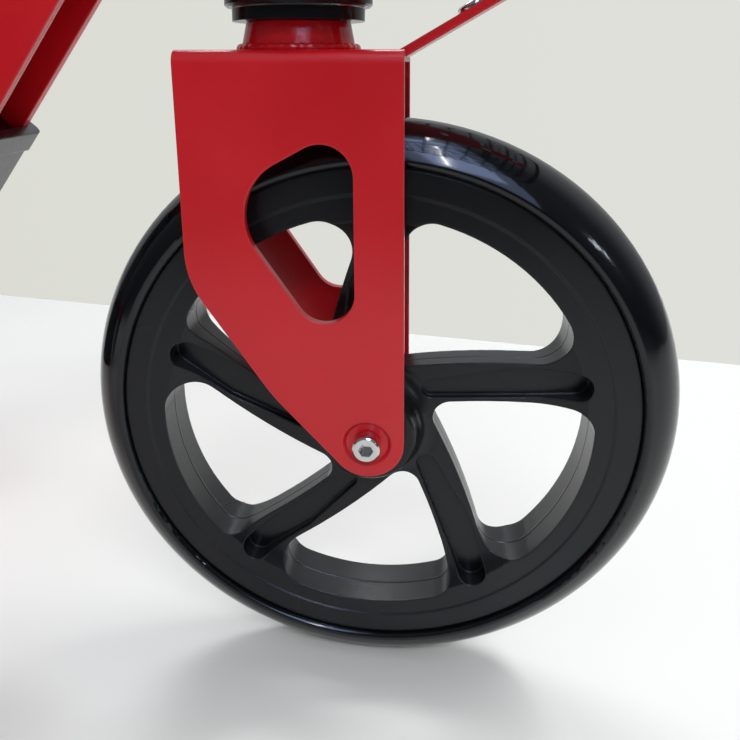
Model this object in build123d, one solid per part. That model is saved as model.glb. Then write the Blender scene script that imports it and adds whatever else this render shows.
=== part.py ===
from build123d import *
import math
import os

# Knee scooter: one steered front wheel in a bent-plate fork, two fixed rear wheels, a sloping
# front beam on a low rail, a height-adjustable knee pad and a folding, telescoping handlebar.
# X points forward, Y to the rider's left, Z up. The origin is on the floor, in the middle of the
# bounding box.

# ---------------------------------------------------------------- driving dimensions (mm)
wheel_diameter = 200.0
tyre_width = 28.4
tyre_depth = 13.0            # from the tread down to the moulded core
core_half_width = 11.3       # half the width of the core at its rim
wheelbase = 560.0
front_overhang = 140.0       # basket front ahead of the front axle
fork_trail = 25.7            # steering axis behind the front axle
fork_inner_half = 18.5       # half the gap between the fork cheeks
fork_plate_thickness = 3.0
fork_height = 118.0          # fork crown above the front axle
head_tube_length = 136.0
head_tube_radius = 20.0
steerer_radius = 14.3
beam_width = 26.0
beam_depth = 50.0
beam_slope = 50.3            # degrees above the floor
beam_reach = 93.6            # open side of the beam behind the front axle, at beam_reach_height
beam_reach_height = 230.0
beam_plate = 3.0
tube_wall = 2.5
rail_width = 50.0
rail_height = 40.0
rail_top = 138.0
rail_front_setback = 162.0   # rail front end behind the front axle
rear_half_track = 143.2
knee_post_setback = 330.0    # knee post behind the front axle
knee_socket_size = 40.0
knee_post_size = 33.0
knee_socket_top = 300.0
knee_travel = 80.0
knee_board_height = 380.0
knee_pad_length = 340.0
knee_pad_width = 184.0
knee_pad_thickness = 52.0
hinge_height = 574.0
column_radius = 17.0
column_top = 760.0
stem_radius = 14.8
stem_travel = 100.0
handlebar_height = 880.0
handlebar_radius = 11.1
handlebar_width = 424.0
grip_radius = 16.0
grip_length = 126.0
basket_width = 240.0
basket_height = 140.0
basket_floor = 300.0
basket_wall = 2.5

# Named clearances
running_gap = 0.05           # round shaft in its bearing, bush or bore
slide_gap = 0.4              # loose sliding faces
side_gap = 0.7               # between parts that turn past each other
seat_gap = 0.3               # soft piece on its support

# ---------------------------------------------------------------- places worked out from them
wheel_radius = wheel_diameter / 2
core_radius = wheel_radius - tyre_depth
axle_z = wheel_radius
front_x = wheelbase / 2 - (front_overhang - wheel_radius) / 2
rear_x = front_x - wheelbase
steer_x = front_x - fork_trail
crown_z = axle_z + fork_height
knee_x = front_x - knee_post_setback
column_inner = column_radius - 1.8
socket_inner = knee_socket_size - 2 * tube_wall


# ---------------------------------------------------------------- shape helpers
def rod(axis, radius, start, end, u, v):
    """A solid cylinder along x, y or z from start to end; u and v are its other two coordinates."""
    turn = {"x": Rot(0, 90, 0), "y": Rot(-90, 0, 0), "z": Rot(0, 0, 0)}[axis]
    centre = {"x": (start, u, v), "y": (u, start, v), "z": (u, v, start)}[axis]
    body = Cylinder(radius, end - start, align=(Align.CENTER, Align.CENTER, Align.MIN))
    return Pos(*centre) * turn * body


def ring(axis, outer, inner, start, end, u, v):
    """A round tube or washer."""
    return rod(axis, outer, start, end, u, v) - rod(axis, inner, start - 1, end + 1, u, v)


def block(x0, x1, y0, y1, z0, z1):
    """A box between two corners."""
    size = (x1 - x0, y1 - y0, z1 - z0)
    return Pos((x0 + x1) / 2, (y0 + y1) / 2, (z0 + z1) / 2) * Box(*size)


def upright(sketch, x, z, y0, y1):
    """A sketch drawn in x and z about the point (x, z), made solid from y0 to y1."""
    plane = Plane(origin=(x, y1, z), x_dir=(1, 0, 0), z_dir=(0, -1, 0))
    return extrude(plane * sketch, amount=y1 - y0)


def flat(sketch, x, y, z0, z1):
    """A sketch drawn in x and y about the point (x, y), made solid from z0 to z1."""
    return extrude(Plane(origin=(x, y, z0)) * sketch, amount=z1 - z0)


def socket_screw(axis, head_radius, head_height, shank_radius, start, end, u, v):
    """A socket-head screw: its head sits at start and its shank runs to end."""
    step = 1 if end > start else -1
    head = rod(axis, head_radius, min(start, start - step * head_height),
               max(start, start - step * head_height), u, v)
    head = chamfer(head.edges().filter_by(GeomType.CIRCLE), 0.5)
    shank = rod(axis, shank_radius, min(start, end), max(start, end), u, v)
    outer = start - step * head_height
    depth = head_height * 0.6
    hexagon = RegularPolygon(head_radius * 0.55, 6)
    turn = {"x": Plane.YZ, "y": Plane.XZ, "z": Plane.XY}[axis]
    centre = {"x": (outer, u, v), "y": (u, outer, v), "z": (u, v, outer)}[axis]
    tool = extrude(Plane(origin=centre, x_dir=turn.x_dir, z_dir=turn.z_dir) * hexagon,
                   amount=depth, both=True)
    return head + shank - tool


def save(name, shape):
    export_step(shape, f"parts/{name}.step")


def save_group(name, solids):
    export_step(Compound(children=solids), f"parts/{name}.step")


os.makedirs("parts", exist_ok=True)

# ================================================================ WHEELS
spoke_count = 5
spoke_half = 5.7             # half the thickness of a spoke at its edges
pocket_floor_half = 3.0      # half the web left between two opposite pockets
window_radius = 72.7
hub_half = 17.2
hub_radius = 15.7
bearing_outer = 11.0
bearing_inner = 4.0
bearing_width = 7.0
hub_bore = 9.0
rim_step_radius = 79.0
rim_step = 0.5


def wheel_core():
    """The moulded core: rim, five swept spokes with pockets and a hub with two bearing seats."""
    seat = hub_half - bearing_width
    lip = core_half_width - rim_step
    with BuildSketch() as half:
        with BuildLine():
            Polyline((hub_bore, 0), (hub_bore, seat), (bearing_outer, seat), (bearing_outer, hub_half),
                     (hub_radius - 0.8, hub_half), (hub_radius, hub_half - 0.8), (hub_radius + 0.8, 10.2))
            ThreePointArc((hub_radius + 0.8, 10.2), (hub_radius + 2.9, 7.0), (hub_radius + 8.0, spoke_half))
            Line((hub_radius + 8.0, spoke_half), (53.0, spoke_half))
            ThreePointArc((53.0, spoke_half), (62.5, spoke_half + 1.3), (window_radius - 2.0, lip))
            Polyline((window_radius - 2.0, lip), (rim_step_radius - rim_step, lip),
                     (rim_step_radius, core_half_width), (core_radius - 0.5, core_half_width),
                     (core_radius, core_half_width - 0.5), (core_radius, 0), (hub_bore, 0))
        make_face()
    face = half.sketch
    solid = revolve(face + mirror(face, about=Plane.XZ), axis=Axis.Y)
    with BuildSketch() as window:
        with BuildLine():
            ThreePointArc((17.2, 8.8), (45.0, 11.6), (80.0, 10.2))
            Polyline((80.0, 10.2), (90.0, -70.0), (45.5, -60.0))
            ThreePointArc((45.5, -60.0), (32.8, -21.5), (17.2, 8.8))
        make_face()
        Circle(window_radius, mode=Mode.INTERSECT)
        corners = window.vertices().sort_by(lambda v: v.center().length)
        fillet(corners[0], 6.0)
        top = window.vertices().sort_by(Axis.Y)[-3:].sort_by(Axis.X)[-1]
        fillet(top, 8.0)
        low = window.vertices().sort_by(Axis.Y)[0]
        fillet(low, 10.0)
    with BuildSketch() as pocket:
        with Locations((19.8, 14.4)):
            Circle(3.4)
        with Locations((45.0, 18.5)):
            Circle(5.2)
        with Locations((65.2, 19.6)):
            Circle(4.9)
        make_hull()
    depth = hub_half + 2
    hole = upright(window.sketch, 0, 0, -depth, depth)
    recess = upright(pocket.sketch, 0, 0, pocket_floor_half, depth)
    recess += upright(pocket.sketch, 0, 0, -depth, -pocket_floor_half)
    for i in range(spoke_count):
        turn = Rot(0, -i * 360 / spoke_count, 0)
        solid -= turn * hole
        solid -= turn * recess
    return solid


def tyre():
    """A solid polyurethane tyre moulded round the core, oval in section."""
    centre = core_radius - 2.8
    section = Pos(centre, 0) * Ellipse(wheel_radius - centre, tyre_width / 2)
    section &= Pos(core_radius + 25, 0) * Rectangle(50, tyre_width * 2)
    shoulders = section.vertices().sort_by(Axis.X)[:2]
    section = fillet(shoulders, 1.8)
    return revolve(section, axis=Axis.Y)


def hub_bearings():
    """Two ball-bearing rings, one in each hub seat."""
    rings = []
    for side in (-1, 1):
        y0 = min(side * hub_half, side * (hub_half - bearing_width))
        body = ring("y", bearing_outer - running_gap, bearing_inner + running_gap, y0 + 0.3,
                    y0 + bearing_width - 0.3, 0, 0)
        groove = ring("y", 8.6, 6.4, side * hub_half - 1.0, side * hub_half + 1.0, 0, 0)
        rings.append(body - groove)
    return rings


core = wheel_core()
rubber = tyre()
bearings = hub_bearings()
spacer_length = hub_half - bearing_width
axle_radius = bearing_inner


def axle_spacers(x, y, inner_face, outer_face):
    """The tube between the bearings and a washer at each side; faces are distances from y."""
    bore = axle_radius + running_gap
    tube = ring("y", 6.0, bore, y - spacer_length, y + spacer_length, x, axle_z)
    low = ring("y", 6.2, bore, y - outer_face, y - hub_half + 0.3, x, axle_z)
    high = ring("y", 6.2, bore, y + hub_half - 0.3, y + inner_face, x, axle_z)
    return [tube, low, high]


# Front wheel
save("front_tyre", Pos(front_x, 0, axle_z) * rubber)
save("front_wheel_core", Pos(front_x, 0, axle_z) * core)
save_group("front_wheel_bearings", [Pos(front_x, 0, axle_z) * b for b in bearings])
save_group("front_axle_spacers", axle_spacers(front_x, 0, fork_inner_half, fork_inner_half))

# Rear wheels turn on their own bolts in the axle plates
plate_inner = rear_half_track - hub_half - 8.2
plate_outer = rear_half_track - hub_half - 2.2
rear_bearings = []
rear_spacers = []
for side, word in ((1, "left"), (-1, "right")):
    y = side * rear_half_track
    save(f"rear_{word}_tyre", Pos(rear_x, y, axle_z) * rubber)
    save(f"rear_{word}_wheel_core", Pos(rear_x, y, axle_z) * core)
    rear_bearings += [Pos(rear_x, y, axle_z) * b for b in bearings]
    rear_spacers += axle_spacers(rear_x, y, hub_half + 2.2, hub_half + 2.2)
save_group("rear_wheel_bearings", rear_bearings)
save_group("rear_axle_spacers", rear_spacers)

rear_bolts = []
for side in (1, -1):
    head_y = rear_half_track + hub_half + 2.2
    bolt = rod("y", axle_radius, plate_inner - 9, head_y, rear_x, axle_z)
    cap = rod("y", 7.0, head_y, head_y + 5.0, rear_x, axle_z)
    cap = chamfer(cap.edges().filter_by(GeomType.CIRCLE).sort_by(Axis.Y)[-1], 0.8)
    key = upright(RegularPolygon(2.9, 6), rear_x, axle_z, head_y + 2, head_y + 6)
    nut = upright(RegularPolygon(7.0, 6), rear_x, axle_z, plate_inner - 6.5, plate_inner)
    piece = bolt + cap + nut - key
    rear_bolts.append(piece if side == 1 else mirror(piece, about=Plane.XZ))
save_group("rear_axle_bolts", rear_bolts)

# ================================================================ FORK
cheek_outer = fork_inner_half + fork_plate_thickness
tip_radius = 12.0
with BuildSketch() as cheek:
    with BuildLine():
        Polyline((-57.8, fork_height), (-57.8, 52.8), (-31.0, 15.0), (-8.9, -8.05), (0, 0),
                 (tip_radius, 0.6), (6.15, fork_height), (-57.8, fork_height))
    make_face()
    Circle(tip_radius)
    rear_corner = cheek.vertices().sort_by_distance((-57.8, 52.8))[0]
    fillet(rear_corner, 28.0)
    slant_corner = cheek.vertices().sort_by_distance((-31.0, 15.0))[0]
    fillet(slant_corner, 60.0)
with BuildSketch() as cheek_hole:
    with BuildLine():
        Polyline((-46.7, 78.6), (-7.1, 99.8), (-4.2, 19.9), (-46.7, 78.6))
    make_face()
    for point, radius in (((-46.7, 78.6), 17.0), ((-7.1, 99.8), 9.6), ((-4.2, 19.9), 9.3)):
        fillet(cheek_hole.vertices().sort_by_distance(point)[0], radius)
channel_middle = axle_z + (fork_height - 20) / 2
with BuildSketch(Plane.YZ) as channel:
    with Locations((0, channel_middle)):
        Rectangle(2 * cheek_outer, fork_height + 20)
    fillet(channel.vertices().group_by(Axis.Y)[-1], 3.6)
    with Locations((0, channel_middle - fork_plate_thickness)):
        Rectangle(2 * fork_inner_half, fork_height + 20, mode=Mode.SUBTRACT)
channel_bar = extrude(channel.sketch, amount=wheelbase, both=True)
fork = channel_bar & upright(cheek.sketch, front_x, axle_z, -cheek_outer, cheek_outer)
fork -= upright(cheek_hole.sketch, front_x, axle_z, -cheek_outer - 1, cheek_outer + 1)
dimple_radius = 8.0
dimple_depth = 1.4
fork -= rod("y", axle_radius + running_gap, -cheek_outer - 1, cheek_outer + 1, front_x, axle_z)
for side in (-1, 1):
    face_y = side * cheek_outer
    inner_y = side * (cheek_outer - dimple_depth)
    cone = Cone(dimple_radius - 1.2, dimple_radius, dimple_depth)
    cone = Pos(front_x, (face_y + inner_y) / 2, axle_z) * Rot(-side * 90, 0, 0) * cone
    fork -= cone
steerer_bore = steerer_radius - tube_wall
fork -= rod("z", steerer_bore, crown_z - 10, crown_z + 1, steer_x, 0)
save("fork_plate", fork)

# Axle: a flanged sleeve from the left with a socket screw in it from the right
seat_y = cheek_outer - dimple_depth
sleeve = rod("y", axle_radius, -seat_y + 4.0, seat_y, front_x, axle_z)
flange = rod("y", 6.0, seat_y, seat_y + 4.2, front_x, axle_z)
flange = chamfer(flange.edges().filter_by(GeomType.CIRCLE).sort_by(Axis.Y)[-1], 0.7)
sleeve = sleeve + flange - upright(RegularPolygon(2.9, 6), front_x, axle_z, seat_y + 2, seat_y + 6)
sleeve -= rod("y", 2.5, -seat_y, 0, front_x, axle_z)
save("front_axle_sleeve", sleeve)
screw_head_radius = 4.5
screw = socket_screw("y", screw_head_radius, 5.6, 2.5 - running_gap, -seat_y, -2, front_x, axle_z)
save("front_axle_screw", screw)

# Steerer with its flared crown cone, welded to the fork
cone_height = 7.4
steerer_top = 455.0
cone = Pos(steer_x, 0, crown_z) * Cone(16.9, 15.2, cone_height, align=(Align.CENTER, Align.CENTER, Align.MIN))
steerer = cone + rod("z", steerer_radius, crown_z, steerer_top, steer_x, 0)
steerer -= rod("z", steerer_bore, crown_z - 1, steerer_top + 1, steer_x, 0)
save("steerer_tube", steerer)

# ================================================================ HEADSET AND HEAD TUBE
race_z = crown_z + cone_height + 0.2
race_height = 3.2
cup_radius = 21.3
cup_z = race_z + race_height + 0.4
cup_height = 9.8
head_z = cup_z + cup_height
head_top = head_z + head_tube_length
headset_bearing_radius = 18.4
skirt = 8.0
head_bore = head_tube_radius - 3.0
steer_bore = steerer_radius + running_gap
save("crown_race", ring("z", 19.2, steer_bore, race_z, race_z + race_height, steer_x, 0))


def headset_cup(z0, z1, skirt_to):
    """A cup: a flange with a bearing seat and a skirt inside the head tube."""
    low, high = min(z0, z1), max(z0, z1)
    cup = rod("z", cup_radius, low, high, steer_x, 0)
    cup = chamfer(cup.edges().filter_by(GeomType.CIRCLE), 0.6)
    cup += rod("z", head_bore - running_gap, min(z1, skirt_to), max(z1, skirt_to), steer_x, 0)
    seat_end = z0 + (7.0 if z1 > z0 else -7.0)
    cup -= rod("z", headset_bearing_radius + running_gap, min(z0, seat_end) - 0.01, max(z0, seat_end), steer_x, 0)
    return cup - rod("z", steerer_radius + 1.0, low - 20, high + 20, steer_x, 0)


upper_z = head_top + cup_height
save("lower_headset_cup", headset_cup(cup_z, head_z, head_z + skirt))
save("upper_headset_cup", headset_cup(upper_z, head_top, head_top - skirt))
lower_ring = ring("z", headset_bearing_radius, steer_bore + 0.2, race_z + race_height, cup_z + 6.6, steer_x, 0)
upper_ring = ring("z", headset_bearing_radius, steer_bore + 0.2, upper_z - 6.6, upper_z + 0.4, steer_x, 0)
save_group("headset_bearings", [lower_ring, upper_ring])
nut_z = upper_z + 0.4
nut_height = 9.0
top_nut = flat(RegularPolygon(19.0, 6), steer_x, 0, nut_z + 2.5, nut_z + nut_height)
top_nut += rod("z", 18.8, nut_z, nut_z + 2.5, steer_x, 0)
top_nut -= rod("z", steer_bore, nut_z - 1, nut_z + nut_height + 1, steer_x, 0)
save("headset_top_nut", top_nut)
save("head_tube", ring("z", head_tube_radius, head_bore, head_z, head_top, steer_x, 0))

# ================================================================ FRAME
slope = math.radians(beam_slope)
along = (-math.cos(slope), -math.sin(slope))         # down and back, in x and z
across = (-math.sin(slope), math.cos(slope))         # from the lower face to the upper face
beam_start = (front_x - beam_reach, beam_reach_height)


def beam_point(distance, offset):
    """A point in x and z: distance down the beam's lower face, offset towards its upper face."""
    return (beam_start[0] + along[0] * distance + across[0] * offset,
            beam_start[1] + along[1] * distance + across[1] * offset)


def sloped_bar(distance0, distance1, offset0, offset1, half):
    """A bar parallel to the beam, between two distances and two offsets, half wide each side."""
    corners = [beam_point(distance0, offset0), beam_point(distance1, offset0),
               beam_point(distance1, offset1), beam_point(distance0, offset1)]
    with BuildSketch() as outline:
        with BuildLine():
            Polyline(*corners, corners[0])
        make_face()
    return upright(outline.sketch, 0, 0, -half, half)


rail_bottom = rail_top - rail_height
rail_front = front_x - rail_front_setback
rail_rear = rear_x + 20.0
half_beam = beam_width / 2
beam = sloped_bar(-130, 180, 0, beam_depth, half_beam)
lengthwise = Vector(along[0], 0, along[1])


def bend_edges(shape):
    """The edges that run down the beam on its upper side, where its plate is bent."""
    found = []
    for edge in shape.edges():
        place = edge.center()
        depth = (place.X - beam_start[0]) * across[0] + (place.Z - beam_start[1]) * across[1]
        if abs(abs(edge.tangent_at(0).dot(lengthwise)) - 1) < 0.01 and depth > beam_depth - 1:
            found.append(edge)
    return found


beam = fillet(bend_edges(beam), 4.0)
beam -= sloped_bar(-140, 190, -5, beam_depth - beam_plate, half_beam - beam_plate)
beam -= rod("z", head_tube_radius, 0, 600, steer_x, 0)
beam -= block(steer_x, steer_x + 300, -50, 50, 0, 700)
beam -= block(-400, 400, -50, 50, -200, rail_top)
beam = beam.solids().sort_by(SortBy.VOLUME)[-1]
save("frame_beam", beam)

# Moulded collar round the foot of the beam: a raised band over a plain sleeve, with a plug that
# fills the open side of the beam
collar_start = 45.6
band_height = 7.6
plug_recess = 3.0
collar = sloped_bar(collar_start, collar_start + band_height, -3.9, beam_depth + 3.9, half_beam + 3.9)
collar += sloped_bar(collar_start + band_height, 200, -3.1, beam_depth + 3.1, half_beam + 3.1)
edges = collar.edges().filter_by(lambda e: abs(abs(e.tangent_at(0).dot(lengthwise)) - 1) < 0.01)
collar = fillet(edges, 3.0)
collar -= sloped_bar(collar_start - 5, 210, -0.1, beam_depth + 0.1, half_beam + 0.1)
plug_half = half_beam - beam_plate - 0.1
plug_start = collar_start + plug_recess
collar += sloped_bar(plug_start, plug_start + 14, -1.5, beam_depth - beam_plate - 0.1, plug_half)
collar -= block(-400, 400, -50, 50, -200, rail_top)
collar = collar.solids().sort_by(SortBy.VOLUME)[-1]
save("beam_collar", collar)


def box_tube(x0, x1, width, height, z_middle, wall):
    """A rectangular tube along x with rounded corners, open at both ends."""
    plane = Plane(origin=(x0, 0, z_middle), x_dir=(0, 1, 0), z_dir=(1, 0, 0))
    outer = extrude(plane * RectangleRounded(width, height, 4.0), amount=x1 - x0)
    return outer - extrude(plane * RectangleRounded(width - 2 * wall, height - 2 * wall, 1.5), amount=x1 - x0)


rail_middle = (rail_top + rail_bottom) / 2
save("base_rail", box_tube(rail_rear, rail_front, rail_width, rail_height, rail_middle, tube_wall))

cross_half = plate_inner
cross_plane = Plane(origin=(rear_x, -cross_half, rail_middle), x_dir=(1, 0, 0), z_dir=(0, 1, 0))
cross = extrude(cross_plane * RectangleRounded(40, rail_height, 4.0), amount=2 * cross_half)
cross -= extrude(cross_plane * RectangleRounded(40 - 2 * tube_wall, rail_height - 2 * tube_wall, 1.5),
                 amount=2 * cross_half)
for side in (-1, 1):
    cross -= rod("y", 9.0, min(side * (cross_half - 12), side * (cross_half + 1)),
                 max(side * (cross_half - 12), side * (cross_half + 1)), rear_x, axle_z)
save("rear_crossbeam", cross)

with BuildSketch() as dropout:
    Rectangle(46, 46)
    fillet(dropout.vertices(), 7.0)
    with Locations((0, -18)):
        Circle(15)
plates = []
for side in (-1, 1):
    y0 = min(side * plate_inner, side * plate_outer)
    plate = upright(dropout.sketch, rear_x, rail_middle, y0, y0 + plate_outer - plate_inner)
    plates.append(plate - rod("y", axle_radius + running_gap, -400, 400, rear_x, axle_z))
save_group("axle_plates", plates)

# Knee-post socket and the brace that ties it to the beam
socket_half = knee_socket_size / 2
socket = flat(RectangleRounded(knee_socket_size, knee_socket_size, 4.0), knee_x, 0, rail_top, knee_socket_top)
socket -= flat(RectangleRounded(socket_inner, socket_inner, 1.5), knee_x, 0, rail_top, knee_socket_top)
slit_bottom = knee_socket_top - 34
socket -= block(knee_x - socket_half - 1, knee_x - socket_half + 4, -1.5, 1.5, slit_bottom, knee_socket_top + 1)
save("knee_post_socket", socket)

brace_z = 250.0
brace = rod("x", 11.0, knee_x + socket_half, front_x, 0, brace_z)
brace -= rod("x", 9.0, knee_x + socket_half - 1, front_x + 1, 0, brace_z)
brace -= sloped_bar(-200, 300, -200, beam_depth, 60)
brace = brace.solids().sort_by(SortBy.VOLUME)[-1]
save("top_brace", brace)

bush_flange = 2.0
post_hole = knee_post_size + 2 * running_gap
bush = flat(RectangleRounded(socket_inner - 0.1, socket_inner - 0.1, 1.4), knee_x, 0,
            knee_socket_top - 60, knee_socket_top)
bush += flat(RectangleRounded(knee_socket_size, knee_socket_size, 4.0), knee_x, 0, knee_socket_top,
             knee_socket_top + bush_flange)
bush -= flat(RectangleRounded(post_hole, post_hole, 3.0), knee_x, 0, knee_socket_top - 61, knee_socket_top + 5)
save("knee_socket_bush", bush)

# ================================================================ CLAMP COLLARS AND CAM LEVERS
clamp_height = 24.0
ear_reach = 15.0
ear_thickness = 6.5
ear_gap = 1.2
skewer_radius = 3.0
cam_radius = 6.5
lever_length = 58.0
cam_half = 7.0
eye_radius = 4.6
eye_half = 3.2
cam_pin_radius = 2.0


def clamp_ears(x_face, direction, z0, z1):
    """Two ears standing out of a collar, with the skewer's hole through them."""
    far = x_face + direction * ear_reach
    ears = []
    for side in (-1, 1):
        y0, y1 = sorted((side * ear_gap, side * (ear_gap + ear_thickness)))
        ears.append(block(min(x_face, far), max(x_face, far), y0, y1, z0, z1))
    return ears


def clamp_skewer(x, z, nut_y, cam_y, axis):
    """The skewer: a nut at the right, a rod, and an eye with the cam's cross pin at the left."""
    body = rod("y", skewer_radius, nut_y - 4.5, cam_y - 2, x, z)
    nut = rod("y", 6.5, nut_y - 6.0, nut_y, x, z)
    if axis == "z":
        eye = rod("z", eye_radius, z - eye_half, z + eye_half, x, cam_y)
        pin = rod("z", cam_pin_radius, z - cam_half - 0.3, z + cam_half + 0.3, x, cam_y)
    else:
        eye = rod("x", eye_radius, x - eye_half, x + eye_half, cam_y, z)
        pin = rod("x", cam_pin_radius, x - cam_half - 0.3, x + cam_half + 0.3, cam_y, z)
    return body + nut + eye + pin


def flat_lever(x, y, z, direction):
    """A cam lever that turns about an upright pin at (x, y) and lies towards direction in x."""
    cam = rod("z", cam_radius, z - cam_half, z + cam_half, x, y)
    points = [(0, 0), (direction * 16, 4.5), (direction * 38, 6.5), (direction * lever_length, 11)]
    blade = flat(trace(FilletPolyline(*points, radius=18), 5.5), x, y, z - 6, z + 6)
    tip = rod("z", 4.2, z - 6, z + 6, x + direction * lever_length, y + 11)
    lever = cam + blade + tip
    lever -= rod("z", cam_radius + 1.5, z - eye_half - slide_gap, z + eye_half + slide_gap, x, y)
    return lever - rod("z", cam_pin_radius + running_gap, z - 20, z + 20, x, y)


# Knee clamp: a square collar round the socket's top, ears to the rear, lever on the left
knee_clamp_z1 = knee_socket_top - 3
knee_clamp_z0 = knee_clamp_z1 - clamp_height
collar_size = knee_socket_size + 10
knee_collar = flat(RectangleRounded(collar_size, collar_size, 7.0), knee_x, 0, knee_clamp_z0, knee_clamp_z1)
for ear in clamp_ears(knee_x - collar_size / 2 + 2, -1, knee_clamp_z0, knee_clamp_z1):
    knee_collar += ear
knee_collar -= flat(RectangleRounded(knee_socket_size + 0.1, knee_socket_size + 0.1, 4.0), knee_x, 0,
                    knee_clamp_z0 - 1, knee_clamp_z1 + 1)
knee_collar -= block(knee_x - 60, knee_x - 10, -ear_gap, ear_gap, knee_clamp_z0 - 1, knee_clamp_z1 + 1)
knee_skewer_x = knee_x - collar_size / 2 - ear_reach / 2
clamp_middle = (knee_clamp_z0 + knee_clamp_z1) / 2
knee_collar -= rod("y", skewer_radius + running_gap, -50, 50, knee_skewer_x, clamp_middle)
save("knee_clamp_collar", knee_collar)
ear_face = ear_gap + ear_thickness
cam_y = ear_face + cam_radius + side_gap
save("knee_clamp_skewer", clamp_skewer(knee_skewer_x, clamp_middle, -ear_face, cam_y, "z"))
save("knee_clamp_lever", flat_lever(knee_skewer_x, cam_y, clamp_middle, -1))

# ================================================================ KNEE PAD
post_bottom = rail_top + 12
board_thickness = 9.0
knee_post = flat(RectangleRounded(knee_post_size, knee_post_size, 3.0), knee_x, 0, post_bottom, knee_board_height - 4)
knee_post -= flat(RectangleRounded(knee_post_size - 2 * tube_wall, knee_post_size - 2 * tube_wall, 1.0), knee_x, 0,
                  post_bottom, knee_board_height - 4)
head_plate = flat(RectangleRounded(120, 90, 8.0), knee_x, 0, knee_board_height - 4, knee_board_height)
for dx in (-48, 48):
    for dy in (-34, 34):
        head_plate -= rod("z", 2.6, 0, 600, knee_x + dx, dy)
save("knee_post", knee_post + head_plate)
board = flat(RectangleRounded(knee_pad_length - 16, knee_pad_width - 16, 36.0), knee_x, 0, knee_board_height,
             knee_board_height + board_thickness)
for dx in (-48, 48):
    for dy in (-34, 34):
        board -= rod("z", 2.5, knee_board_height - 1, knee_board_height + 7, knee_x + dx, dy)
save("knee_board", board)
board_screws = []
for dx in (-48, 48):
    for dy in (-34, 34):
        board_screws.append(socket_screw("z", 4.6, 2.8, 2.45, knee_board_height - 4, knee_board_height + 6.5,
                                         knee_x + dx, dy))
save_group("board_screws", board_screws)
cushion_z = knee_board_height + board_thickness
cushion = flat(RectangleRounded(knee_pad_length, knee_pad_width, 42.0), knee_x, 0, cushion_z + seat_gap,
               cushion_z + knee_pad_thickness)
cushion = fillet(cushion.edges().group_by(Axis.Z)[-1], 14.0)
save("knee_cushion", cushion)

# ================================================================ STEERING STUB AND FOLD HINGE
stub_z = nut_z + nut_height + 0.2
stub_top = hinge_height - 34
stub = ring("z", 17.5, steer_bore, stub_z, stub_top, steer_x, 0)
stub += block(steer_x - 25, steer_x - 16, -7, 7, stub_z + 8, stub_z + 46)
stub -= rod("z", steer_bore, stub_z - 1, stub_top + 1, steer_x, 0)
stub -= block(steer_x - 30, steer_x - 10, -0.8, 0.8, stub_z - 1, stub_z + 50)
stub_screw_z = (stub_z + 17, stub_z + 37)
small_screw = 2.4
screw_hole = small_screw + running_gap
for z in stub_screw_z:
    stub -= rod("y", screw_hole, -10, 10, steer_x - 21, z)
pin_x = steer_x - 22
hinge_half = 20.0
cheek_inside = 14.0
base_front = steer_x + 23
base = block(pin_x - 12, base_front, -hinge_half, hinge_half, stub_top, hinge_height - 12)
with BuildSketch() as ear_outline:
    with BuildLine():
        Polyline((-12, -12), (base_front - pin_x, -12), (base_front - pin_x, 15), (36, 19), (22, 19), (12, 12),
                 (-12, 12), (-12, -12))
    make_face()
    fillet(ear_outline.vertices().sort_by_distance((-12, 12))[0], 11.0)
for side in (-1, 1):
    y0, y1 = sorted((side * cheek_inside, side * hinge_half))
    base += upright(ear_outline.sketch, pin_x, hinge_height, y0, y1)
hinge_pin_radius = 4.0
base -= rod("y", hinge_pin_radius + running_gap, -50, 50, pin_x, hinge_height)
skewer_dx = 34.0
skewer_dz = 8.0
with BuildSketch() as notch:
    with Locations((skewer_dx, skewer_dz)):
        Circle(skewer_radius + 0.9)
    with Locations((skewer_dx - 7.0, skewer_dz + 16)):
        Circle(skewer_radius + 0.9)
    make_hull()
base -= upright(notch.sketch, pin_x, hinge_height, -50, 50)
base = chamfer(base.edges().filter_by(Axis.Y).filter_by(lambda e: e.center().Z < stub_top + 1), 2.0)
save("steering_stub", stub + base)
pin = rod("y", hinge_pin_radius, -hinge_half - 0.4, hinge_half + 0.4, pin_x, hinge_height)
for side in (-1, 1):
    y0, y1 = sorted((side * (hinge_half + 0.2), side * (hinge_half + 2.8)))
    pin += rod("y", 6.5, y0, y1, pin_x, hinge_height)
save("hinge_pin", pin)

# Upper hinge block with the socket that holds the column tube
tongue_half = cheek_inside - seat_gap
block_top = hinge_height + 66
with BuildSketch() as tongue:
    with Locations((0, 0)):
        Circle(10)
    with Locations((21.5, 8.5)):
        Rectangle(43, 37)
hinge_head = upright(tongue.sketch, pin_x, hinge_height, -tongue_half, tongue_half)
hinge_head -= rod("y", 30, -50, 50, pin_x, hinge_height) & block(
    pin_x - 30, pin_x, -50, 50, hinge_height - 30, hinge_height - 0.01) & block(
    pin_x - 30, pin_x - 10.01, -50, 50, 0, 900)
shoulder = block(steer_x - 21, steer_x + 21, -20, 20, hinge_height + 21, hinge_height + 30)
boss = rod("z", 21.0, hinge_height + 26, block_top, steer_x, 0)
hinge_head = hinge_head + shoulder + boss
socket_floor = hinge_height + 30
hinge_head -= rod("z", column_radius + running_gap, socket_floor, block_top + 1, steer_x, 0)
hinge_head -= rod("y", hinge_pin_radius + running_gap, -50, 50, pin_x, hinge_height)
fold_x = pin_x + skewer_dx
fold_z = hinge_height + skewer_dz
hinge_head -= rod("y", skewer_radius + running_gap, -50, 50, fold_x, fold_z)
save("hinge_head", hinge_head)

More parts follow.
